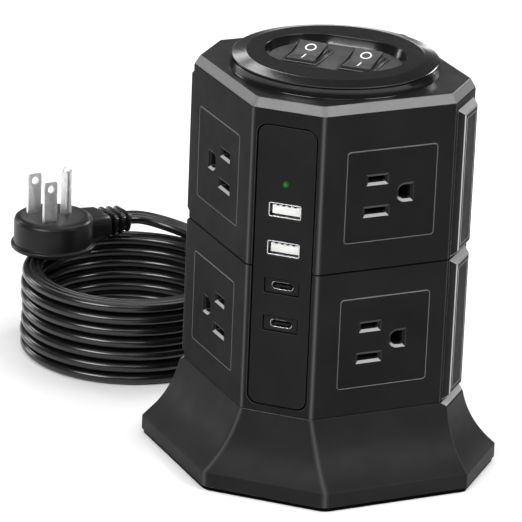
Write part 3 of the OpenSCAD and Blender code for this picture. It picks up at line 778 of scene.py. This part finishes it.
def make_top_cover():
    """The chamfered cover over the upper tier."""
    outline = column_outline()
    top = column_outline(CHAMFER_IN)
    hole = circle_like(outline, 33.6)
    inner = column_outline(12)
    rings = [(outline, SHOULDER_Z + 0.15), (top, COL_TOP), (hole, COL_TOP), (hole, COL_TOP - 2.4),
             (inner, COL_TOP - 2.4), (inner, SHOULDER_Z + 0.15)]
    cover = stacked(rings, closed=True)
    shown(cover, "top_cover", "satin_black", edge=0.3, segments=3)


def make_corner_cover(name, angle):
    """A bevelled corner panel with a fine groove inside its border."""
    node = "corner_cover_" + name
    z0, z1 = low(node).z, high(node).z
    wide, tall, rise, bevel = 18.8, z1 - z0, LEDGE, 2.1
    border, width, depth = 1.7, 0.5, 0.12
    steps = [(0, 0), (bevel - 0.25, rise - 0.31), (bevel + 0.55, rise), (bevel + border, rise),
             (bevel + border + width / 2, rise - depth), (bevel + border + width, rise)]
    rings = [facing(rectangle(14, tall - 5, 0.5), -1.1), facing(rectangle(14, tall - 5, 0.5), 0.02)]
    rings += [facing(rectangle(wide - 2 * inset, tall - 2 * inset, max(0.5 - 0.1 * inset, 0.15)), x)
              for inset, x in steps]
    cover = moved(lofted(rings), on_face(angle, 0, (z0 + z1) / 2, FAR_DIST))
    shown(cover, node, "cover_black", edge=0.15, smooth=15)


# ---------- outlets

def ground_outline():
    """The D-shaped ground hole: round towards the slots, square away from them."""
    arc = [(-2.8 * cos(t), 2.8 * sin(t)) for t in (radians(90 - 15 * k) for k in range(13))]
    rounded_end = [(max(x, -2.4), z) for x, z in arc]
    return [(2.5, -2.8), (2.5, 2.8)] + rounded_end


def mouth(outline, bevel, depth, through):
    """A cutter for a hole with a bevelled mouth in a face at X = 0."""
    return stood([(offset(outline, bevel * 1.3), depth * 0.3), (outline, -depth), (outline, -through)])


def outlet_shape():
    """A flush insert, its flange and socket block, with its three holes."""
    block = [((26, 25, 0.5), -WALL - 11), ((26, 25, 0.5), -WALL - 1.2), ((40, 39, 1.2), -WALL - 1.2),
             ((40, 39, 1.2), -WALL), ((37.3, 36.3, 1.2), -WALL), ((37.3, 36.3, 1.2), 0)]
    shape = stood([(rectangle(*size), x) for size, x in block])
    for up, wide in ((1, 7.0), (-1, 8.7)):
        centre = (-GROUND_PITCH / 2, up * BLADE_PITCH / 2)
        combine(shape, slab(rectangle(10, 4.4, 0, 5, centre), -WALL - 9.5, -WALL - 0.6))
        combine(shape, mouth(rectangle(wide, 2.3, 0, 5, centre), 1.1, 0.75, WALL + 2))
    chamber = (GROUND_PITCH / 2, 0)
    combine(shape, slab(rectangle(7.6, 7.2, 0, 5, chamber), -WALL - 9.5, -WALL - 0.6))
    hole = [(x + GROUND_PITCH / 2, z) for x, z in ground_outline()]
    combine(shape, mouth(hole, 1.05, 0.75, WALL + 2))
    return shape


def make_outlets():
    """The eight outlets, copied from one shape."""
    pattern = outlet_shape()
    for face, (angle, along, side) in OUTLET_FACES.items():
        for level, z in OUTLET_LEVELS.items():
            copy = added("copy", pattern.data.copy())
            flip = Matrix.Scale(side, 4, (0, 1, 0))
            moved(copy, on_face(angle, along, z, COL_HALF) @ flip)
            node = f"outlet_{face}_{level}"
            shown(copy, node, "outlet_black", edge=0.14)
            rim = stood([(rectangle(w, w - 1, r), x) for w, r, x in OUTLET_RIM], closed=True)
            moved(rim, on_face(angle, along, z, COL_HALF))
            # The rim's grey is a painted edge highlight round the insert.
            piece(rim, node + "_rim", "outlet_black", (), edge=0, looks_as="rim_painted_highlight")
    bpy.data.objects.remove(pattern)


# ---------- USB panel

PANEL_FACE = USB_DIST - 0.4
PORT_Z = [69.6 + 15.35 * k for k in range(4)]
LED_Z = 126.4


def make_panel():
    """The long panel on the front corner, pierced for the lamp and the four ports."""
    node = "usb_panel"
    z0, z1 = low(node).z, high(node).z
    mid = (z0 + z1) / 2
    plate = slab(rectangle(23.4, z1 - z0 - 0.3, 4, 8), -2, 0)
    for k, z in enumerate(PORT_Z):
        size = (14.3, 6.3, 0.5) if k < 2 else (13.5, 6.1, 0.6)
        combine(plate, slab(rectangle(*size, 4, (0, z - mid)), -3, 1))
    combine(plate, slab(circle(1.4, 32, (0, LED_Z - mid)), -3, 1))
    moved(plate, on_panel(mid))
    shown(plate, node, "panel_black", edge=0.2)


def make_usb_a(name, z):
    """A folded steel shell."""
    outer, inner = rectangle(13.1, 5.7, 0.6, 4), rectangle(12.4, 5.0, 0.35, 4)
    rings = [(outer, -13), (outer, -0.2), (inner, -0.2), (inner, -12.6)]
    shell = stood(rings)
    shown(moved(shell, on_panel(z)), name, "port_metal", edge=0.1)


def make_tongues():
    """The white insulators of the two upper ports, with their gilt contacts."""
    tongues, contacts = [], []
    for z in PORT_Z[2:]:
        place = on_panel(z)
        tongue = slab(rectangle(11.3, 3.7, 0.25, 4, (0.2, -0.1)), -12.6, -1.4)
        tongues.append(moved(tongue, place))
        for k in range(4):
            pad = rectangle(1.1, 0.4, 0.06, 2, (-3.3 + 2.33 * k, 1.6))
            contacts.append(moved(slab(pad, -9, -1.25), place))
    shown(joined(*tongues), "usb_a_tongues", "white_tongue", edge=0.15)
    piece(joined(*contacts), "usb_a_contacts", "contact_brass", edge=0.03)


def make_usb_c(name, z):
    """An oval steel shell standing in a recessed frame."""
    half, r = (9 - 3.3) / 2, 3.3 / 2
    outer, inner = stadium(half, r, 12), stadium(half, r - 0.3, 12)
    rings = [(outer, -12.5), (outer, -1.3), (inner, -1.3), (inner, -12)]
    shell = stood(rings)
    shown(moved(shell, on_panel(z)), name, "port_metal", edge=0.08)


def make_usb_c_inners():
    """The frames and tongues of the two lower ports."""
    frames, tongues = [], []
    for z in PORT_Z[:2]:
        place = on_panel(z)
        frame_part = slab(rectangle(13.5, 5.5, 0.4, 4), -2, -0.5)
        combine(frame_part, slab(stadium(2.85, 1.72, 12), -3, 0))
        frames.append(moved(frame_part, place))
        tongue = slab(rectangle(6.4, 0.8, 0.2, 3, (0.2, -0.2)), -12, -1.7)
        tongues.append(moved(tongue, place))
    shown(joined(*frames), "usb_c_frames", "panel_black", edge=0.12)
    shown(joined(*tongues), "usb_c_tongues", "panel_black", edge=0.08)


def make_led():
    """The domed end of the light pipe."""
    profile = [(1.3, -13), (1.3, 0.1)] + [(1.3 * cos(t), 0.1 + 0.45 * sin(t))
                                          for t in (radians(15 * k) for k in range(1, 6))]
    dome = lathe(profile, 32)
    moved(dome, on_panel(LED_Z) @ spun(90, "Y"))
    shown(dome, "led_lens", "led_green", edge=0)


# ---------- bezel and switches

RECESS_HALF = 6.9
RECESS_R = 20.6
BEZEL_R = 40.0
BEZEL_SEAT_R = 37.8
FLAT_R = 34.4
SWITCH_X = 11.3
PIVOT_Z = 158.6
ROCKER_TILT = 9


def make_collar():
    """The glossy ring that the bezel sits in."""
    r = COLLAR_R - 0.7
    profile = [(r + 0.1, COL_TOP), (r, COL_TOP + 0.15), (r, COLLAR_TOP - 0.12), (r - 0.1, COLLAR_TOP),
               (BEZEL_SEAT_R + 0.2, COLLAR_TOP), (BEZEL_SEAT_R + 0.2, TRAY_Z),
               (FLAT_R, TRAY_Z), (FLAT_R, COL_TOP)]
    shown(lathe(profile, 192, True), "collar_ring", "gloss_bezel", edge=0)


def make_bezel():
    """The round bezel: a grooved flat top, a broad chamfer and a sloping rounded recess."""
    lip = COLLAR_TOP + 0.2
    top = [(BEZEL_R - 0.2, lip), (BEZEL_R, lip + 0.15), (BEZEL_R, lip + 0.3), (BEZEL_R - 0.25, lip + 0.5),
           (FLAT_R + 0.3, RING_TOP - 0.1), (FLAT_R, RING_TOP)]
    for k in range(19):
        r = FLAT_R - 0.5 - 0.65 * k
        top += [(r, RING_TOP), (r - 0.12, RING_TOP - 0.015), (r - 0.24, RING_TOP)]
    profile = [(6, TRAY_Z), (BEZEL_SEAT_R, TRAY_Z), (BEZEL_SEAT_R, lip)] + top + [(6, RING_TOP)]
    ring = lathe(profile, 192, True)
    wall = [(RECESS_R - 1.7, TRAY_Z - 1), (RECESS_R - 1.3, TRAY_Z), (RECESS_R + 0.15, RING_TOP - 0.25)]
    wall += [(RECESS_R + 0.15 + 0.25 * (1 - cos(t)), RING_TOP - 0.25 + 0.25 * sin(t))
             for t in (radians(18 * k) for k in range(1, 5))]
    wall += [(RECESS_R + 0.4, RING_TOP + 0.5)]
    cutter = stacked([(stadium(RECESS_HALF, r, 40), z) for r, z in wall])
    combine(ring, moved(cutter, spun(-45, "Z")))
    shown(ring, "bezel_ring", "gloss_bezel", edge=0, smooth=22)


def switch_frame(side):
    """Switch frame: X along the row of switches, Y away from the USB corner."""
    return spun(-45, "Z") @ Matrix.Translation((side * SWITCH_X, 0, 0))


def make_tray():
    """The recess's floor, pierced for the two switches."""
    tray = lathe([(34.2, TRAY_Z - 2), (34.2, TRAY_Z)], 96)
    for side in (-1, 1):
        hole = prism(rectangle(14, 20.4), TRAY_Z - 3, TRAY_Z + 1)
        combine(tray, moved(hole, switch_frame(side)))
    shown(tray, "switch_tray", "tray_black", edge=0.1)


def make_switch_body(name, side):
    """The switch's housing with the thin flange that shows round its rocker."""
    inner = rectangle(12, 18.6, 0.4, 3)
    outer = rectangle(13.8, 20.2, 0.4, 3)
    flange = rectangle(14.6, 21.2, 0.9, 3)
    rings = [(outer, 146), (outer, TRAY_Z), (flange, TRAY_Z), (flange, TRAY_Z + 0.9),
             (inner, TRAY_Z + 0.9), (inner, 148)]
    body = stacked(rings)
    shown(moved(body, switch_frame(side)), name, "switch_black", edge=0.22)


def rocker_top(y):
    """Height of a rocker's hollow top above its pivot, at a distance along it."""
    return 5.5 + 24 - sqrt(25.2 ** 2 - min(abs(y), 7.68) ** 2)


def rocker_place(side):
    tilt = spun(ROCKER_TILT, "X")
    return switch_frame(side) @ Matrix.Translation((0, 0, PIVOT_Z)) @ tilt


def make_rocker(name, side):
    """A rocker with its hollow top and a printed on and off mark."""
    ys = [-8, -7.7] + [-7.68 + 15.36 * k / 24 for k in range(1, 24)] + [7.7, 8]
    section = [(y, rocker_top(y)) for y in ys] + [(8, -2), (-8, -2)]
    rings = [[(x, y, z) for y, z in section] for x in (-5.75, 5.75)]
    pins = moved(lathe([(1.2, -6.6), (1.2, 6.6)], 24), spun(90, "Y"))
    rocker = combine(lofted(rings), pins, "UNION")
    place = rocker_place(side)
    shown(moved(rocker, place), name, "rocker_black", body=name, edge=0.35, segments=3)
    zero = inlay_ring(4.0, 2.25, 1.65)
    one = inlay_bar(-4.0, 0.55, 4.8)
    piece(moved(joined(zero, one), place), name + "_marks", "rocker_black", (), name, edge=0,
          looks_as="mark_white")


def inlay(outline, raised=0.04):
    """A thin print that follows the rocker's hollow top."""
    return [(x, y, rocker_top(y) + raised) for x, y in outline]


def inlay_ring(y, outer, inner):
    """The off mark."""
    a, b = circle(outer, 48, (0, y)), circle(inner, 48, (0, y))
    return lofted([inlay(a, -0.05), inlay(a), inlay(b), inlay(b, -0.05)], closed=True)


def inlay_bar(y, wide, long):
    """The on mark, cut into short lengths so that it follows the curve."""
    lines = [y - long / 2 + long * k / 8 for k in range(9)]
    w = wide / 2
    return lofted([inlay([(-w, v), (w, v)], -0.05) + inlay([(w, v), (-w, v)]) for v in lines])


# ---------- breaker, gland, cord and plug

def to_back(x, y, z):
    """From a turned part's frame, Z along it, to one that points out of the back at this place."""
    return Matrix.Translation((x, y, z)) @ spun(-90, "X")


def make_breaker():
    """The breaker's case and threaded barrel, and its button."""
    node = "circuit_breaker"
    x, z = middle(node, "x"), middle(node, "z")
    case = prism(rectangle(15, 14, 0.8, 3), 0, 20.4)
    profile = [(5, 20)] + [(5 - 0.3 * (k % 2), 21 + 0.45 * k) for k in range(14)] + [(4.7, 27.4)]
    combine(case, lathe(profile, 48), "UNION")
    combine(case, lathe([(3.05, 16), (3.05, 30)], 48))
    shown(moved(case, to_back(x, 32, z)), node, "breaker_black", edge=0.12)
    reach = high("reset_button").y - 51
    profile = [(3, 0), (3, reach - 0.7), (2.8, reach - 0.2), (2.3, reach), (1.6, reach - 0.3)]
    button = moved(lathe(profile, 48), to_back(x, 51, z))
    shown(button, "reset_button", "button_red", body="reset_button", edge=0)


def make_gland():
    """The cord's gland: a flange outside and a long tapered sleeve with ribs."""
    node = "cord_gland"
    x, z = middle(node, "x"), 8
    start = high("base_shell").y
    end = high(node).y - start
    rows = [(12, 8, 1.8, -8), (12, 8, 1.8, 0.1), (16, 11.6, 1.5, 0.1), (16, 11.6, 1.5, 2.0),
            (15.2, 10.8, 1.4, 2.5), (12.6, 9.0, 1.8, 3.2)]
    for k in range(5):
        wide, tall = 12.9 - 0.4 * k, 9.2 - 0.4 * k
        d = 4.6 + 5 * k
        rows += [(wide, tall, 1.8, d), (10, 6.2, 1.8, d + 0.25),
                 (10, 6.2, 1.8, d + 1.5), (wide - 0.3, tall - 0.3, 1.8, d + 1.75)]
    rows += [(10.4, 6.9, 1.8, end - 0.6), (9.6, 6.1, 1.7, end)]
    shown(moved(tapered(rows), to_back(x, start, z)), node, "cord_black", edge=0.2)


def coil_point(degrees):
    """The cord's centreline in the coil: level turns that climb by one where the tower hides them."""
    turn, rest = divmod(degrees - COIL_START, 360)
    climb_from, climb_to = 310 - COIL_START, 368 - COIL_START
    share = max(0.0, min(1.0, (rest - climb_from) / (climb_to - climb_from)))
    level = turn + share * share * (3 - 2 * share)
    angle = radians(degrees)
    r = COIL_R + 0.35 * sin(angle * 0.73 + 1.1) * min(1.0, (degrees - COIL_START) / 200)
    r = COIL_R + (r - COIL_R) * min(1.0, (COIL_END - degrees) / 200)
    return Vector((COIL_CENTRE.x + r * cos(angle), COIL_CENTRE.y + r * sin(angle),
                   CORD_T / 2 + COIL_PITCH * level))


def smooth_line(points, step):
    """An evenly spaced line through points, as a Catmull-Rom spline."""
    points = [Vector(p) for p in points]
    ends = [2 * points[0] - points[1]] + points + [2 * points[-1] - points[-2]]
    fine = []
    for a, b, c, d in zip(ends, ends[1:], ends[2:], ends[3:]):
        for k in range(8):
            t = k / 8
            fine.append(0.5 * (2 * b + (c - a) * t + (2 * a - 5 * b + 4 * c - d) * t ** 2 +
                               (3 * b - a - 3 * c + d) * t ** 3))
    fine.append(points[-1])
    out, spare = [fine[0]], step
    for a, b in zip(fine, fine[1:]):
        gap = (b - a).length
        while gap >= spare:
            a = a.lerp(b, spare / gap)
            out.append(a)
            gap = (b - a).length
            spare = step
        spare -= gap
    if (out[-1] - fine[-1]).length < step / 2:
        out.pop()
    return out + [fine[-1]]


def cord_line():
    """The whole cord's centreline, from the gland to the plug's strain relief."""
    coil = [coil_point(COIL_START + 8 + (COIL_END - COIL_START - 8) * k / 240) for k in range(240)]
    return smooth_line(LEAD_ROUTE + coil + TAIL_ROUTE, 2.0)


def ribbed_section():
    """The flat cord's outline: three round ribs side by side, with sharp valleys between them."""
    ribs = ((RIB_PITCH, SIDE_RIB, -118, 118), (0, MIDDLE_RIB, 54.3, 125.7),
            (-RIB_PITCH, SIDE_RIB, 62, 298), (0, MIDDLE_RIB, 234.3, 305.7))
    out = []
    for x, r, start, end in ribs:
        count = 22 if r == SIDE_RIB else 8
        turns = [radians(start + (end - start) * k / count) for k in range(count + 1)]
        out += [(x + r * cos(t), r * sin(t)) for t in turns]
    return out


def swept(line, section):
    """A tube along a line, its width kept level."""
    rings = []
    for i, here in enumerate(line):
        ahead = (line[min(i + 1, len(line) - 1)] - line[max(i - 1, 0)]).normalized()
        level = ahead.cross(Vector((0, 0, 1))).normalized()
        rise = level.cross(ahead)
        rings.append([here + level * x + rise * y for x, y in section])
    return lofted(rings)


def make_cord():
    """The flat three-ribbed cord, from the gland round the coil and over it to the plug."""
    line = cord_line()
    cord = piece(swept(line, ribbed_section()), "flat_cord", "cord_black",
                 ["cord_lead", "cord_coil", "cord_tail"], edge=0, smooth=40)
    length = sum((b - a).length for a, b in zip(line, line[1:])) * MM
    return cord, line, length


def plug_frame():
    """X along the plug towards its cord, Z away from its flat back."""
    return Matrix.Translation(PLUG_AT) @ spun(PLUG_HEADING, "Z")


def make_plug():
    """The flat angled plug: a stepped disc, its neck, three ribs, two blades and the ground pin."""
    place = plug_frame()
    front = high("plug_body").z - PLUG_AT[2]
    profile = [(16.6, 0), (17.5, 0.25), (17.8, 0.8), (17.8, 1.8), (17.4, 2.3), (16.7, 2.5), (16.6, 2.9),
               (16.6, front - 2.4), (16.2, front - 1.2), (15.2, front - 0.4), (13.6, front - 0.05),
               (12, front)]
    disc = lathe(profile, 96)
    along = Matrix.Translation((0, 0, CORD_RISE)) @ spun(90, "Z") \
        @ spun(90, "X")
    neck = tapered([(20, 12.4, 3.2, 8), (18.6, 11.8, 3.2, 14), (17, 11.2, 3.2, 19),
                    (16, 10.6, 3.2, 23.3), (14.4, 9.2, 3.2, 24.5)])
    combine(disc, moved(neck, along), "UNION")
    for y in (-1, 1):
        combine(disc, prism(rectangle(6.5, 1.66, 0.1, 3, (-5.95, y * BLADE_PITCH / 2)), 6, 20))
    combine(disc, prism(circle(2.44, 32, (5.95, 0)), 6, 20))
    body = shown(moved(disc, place), "plug_body", "plug_black", edge=0.25)
    pair = joined(*(make_blade(side) for side in (-1, 1)))
    blades = shown(moved(pair, place), "plug_blades", "blade_nickel", edge=0.12)
    tip = high("plug_ground_pin").z - PLUG_AT[2]
    pin_profile = [(2.38, 6), (2.38, tip - 2.6)] + [(2.38 * cos(t), tip - 2.6 + 2.55 * sin(t))
                                                    for t in (radians(12 * k) for k in range(1, 8))]
    pin_shape = moved(lathe(pin_profile, 40), Matrix.Translation((5.95, 0, 0)))
    pin = shown(moved(pin_shape, place), "plug_ground_pin", "blade_nickel", edge=0)
    return [body, blades, pin, make_plug_relief(along, place)]


def make_blade(side):
    """A flat blade with its hole and chamfered end."""
    y = side * BLADE_PITCH / 2
    rings = [(6.34, 1.52, 6), (6.34, 1.52, 30.3), (5.4, 0.7, 31.5)]
    blade = stacked([(rectangle(wide, thick, 0, 4, (-5.95, y)), z) for wide, thick, z in rings])
    hole = moved(lathe([(1.6, -5), (1.6, 5)], 32),
                 Matrix.Translation((-5.95, y, 28.4)) @ spun(90, "X"))
    return combine(blade, hole)


def make_plug_relief(along, place):
    """Three soft ribs on a core, each smaller than the last."""
    rows = [(11.4, 7.4, 2.2, 24.3)]
    for k in range(3):
        wide, tall = 15 - 0.9 * k, 9.8 - 0.5 * k
        d = 25.7 + 3.6 * k
        rows += [(10.8, 6.9, 2.2, d), (wide - 1, tall - 1, 2.6, d + 0.25), (wide, tall, 2.6, d + 0.7),
                 (wide, tall, 2.6, d + 1.4), (wide - 1, tall - 1, 2.6, d + 1.85), (10.6, 6.8, 2.2, d + 2.1)]
    rows += [(10.4, 6.6, 2.2, 35.6), (9.4, 5.6, 2, 36.2)]
    relief = moved(moved(tapered(rows), along), place)
    return shown(relief, "plug_strain_relief", "cord_black", edge=0.15)


# ---------- stage

# Studio lights: name, azimuth, elevation, distance, width, height and power
SOFTBOXES = (
    ("front_right", -60, 36, 1.9, 1.0, 0.4, 23),
    ("front_left", 203, 36, 1.9, 1.0, 0.4, 27),
    ("front", 250, 44, 1.9, 0.9, 0.2, 5),
    ("overhead", 60, 84, 2.2, 2.4, 2.4, 22),
    ("back_high", 75, 34.5, 1.9, 0.35, 0.27, 1.5),
    ("back_left", 76, 23, 1.9, 0.25, 0.2, 0.7),
    ("back_right", 58, 10, 1.9, 0.12, 0.25, 0.5),
    ("back_top", 20, 62, 1.9, 1.2, 1.2, 6),
    ("front_low", 204, 24, 1.9, 0.6, 0.25, 1.2),
    ("right_back", 27, 22, 1.9, 0.5, 0.4, 10),
    ("left_back", 112, 25, 1.9, 0.4, 0.3, 3.5),
    ("left_low", 121, 5, 1.9, 0.5, 0.3, 3.8),
)


def softbox(name, azimuth, elevation, away, wide, tall, power):
    """A soft rectangular light that faces the middle of the tower."""
    turn, rise = radians(azimuth), radians(elevation)
    toward = Vector((cos(turn) * cos(rise), sin(turn) * cos(rise), sin(rise)))
    data = bpy.data.lights.new(name, "AREA")
    data.shape = "RECTANGLE"
    data.size = wide
    data.size_y = tall
    data.energy = power
    light = added(name, data)
    light.location = toward * away + Vector((0, 0, 0.1))
    light.rotation_mode = "QUATERNION"
    light.rotation_quaternion = toward.to_track_quat("Z", "Y")


def make_stage():
    """A plain pale floor and soft studio light."""
    mesh = bpy.data.meshes.new("floor")
    mesh.from_pydata(at(rectangle(12, 12), 0), [], [(0, 1, 2, 3)])
    floor = added("floor", mesh)
    paper = Look("floor", (0.9, 0.9, 0.9), 0.8, 0.1)
    paper.polish(paper.noise(0.05, 3), 0.05)
    floor.data.materials.append(paper.material)
    world = bpy.data.worlds.new("studio")
    world.use_nodes = True
    world.node_tree.nodes["Background"].inputs["Color"].default_value = (1, 1, 1, 1)
    world.node_tree.nodes["Background"].inputs["Strength"].default_value = 0.13
    bpy.context.scene.world = world
    for row in SOFTBOXES:
        softbox(*row)
    bpy.context.scene.view_settings.view_transform = "Standard"


# ---------- build

make_camera()
LOOKS = make_looks()
cord, line, cord_length = make_cord()
make_base()
make_plate_lip_painted_shade()
make_tier("lower_tier_shell", BASE_TOP + 0.1, SPLIT_Z - SEAM / 2, OUTLET_LEVELS["lower"])
make_tier("upper_tier_shell", SPLIT_Z + SEAM / 2, SHOULDER_Z, OUTLET_LEVELS["upper"])
make_top_cover()
for corner, angle in (("right", 315), ("left", 135), ("back", 45)):
    for level in ("lower", "upper"):
        make_corner_cover(f"{corner}_{level}", angle)
make_outlets()
make_panel()
for port, z in zip(("bottom", "top"), PORT_Z[:2]):
    make_usb_c("usb_c_port_" + port, z)
for port, z in zip(("bottom", "top"), PORT_Z[2:]):
    make_usb_a("usb_a_port_" + port, z)
make_tongues()
make_usb_c_inners()
make_led()
make_collar()
make_bezel()
make_tray()
for side, name in ((-1, "left"), (1, "right")):
    make_switch_body("switch_body_" + name, side)
    make_rocker("rocker_" + name, side)
make_breaker()
make_gland()
plug_pieces = make_plug()
for row in frame["record"]["subparts"]:
    node = frame["nodes"][row["node"]]
    if not node.hide_render:
        node.data.materials.clear()
        node.data.materials.append(LOOKS[row["material_slot"]].material)
make_stage()
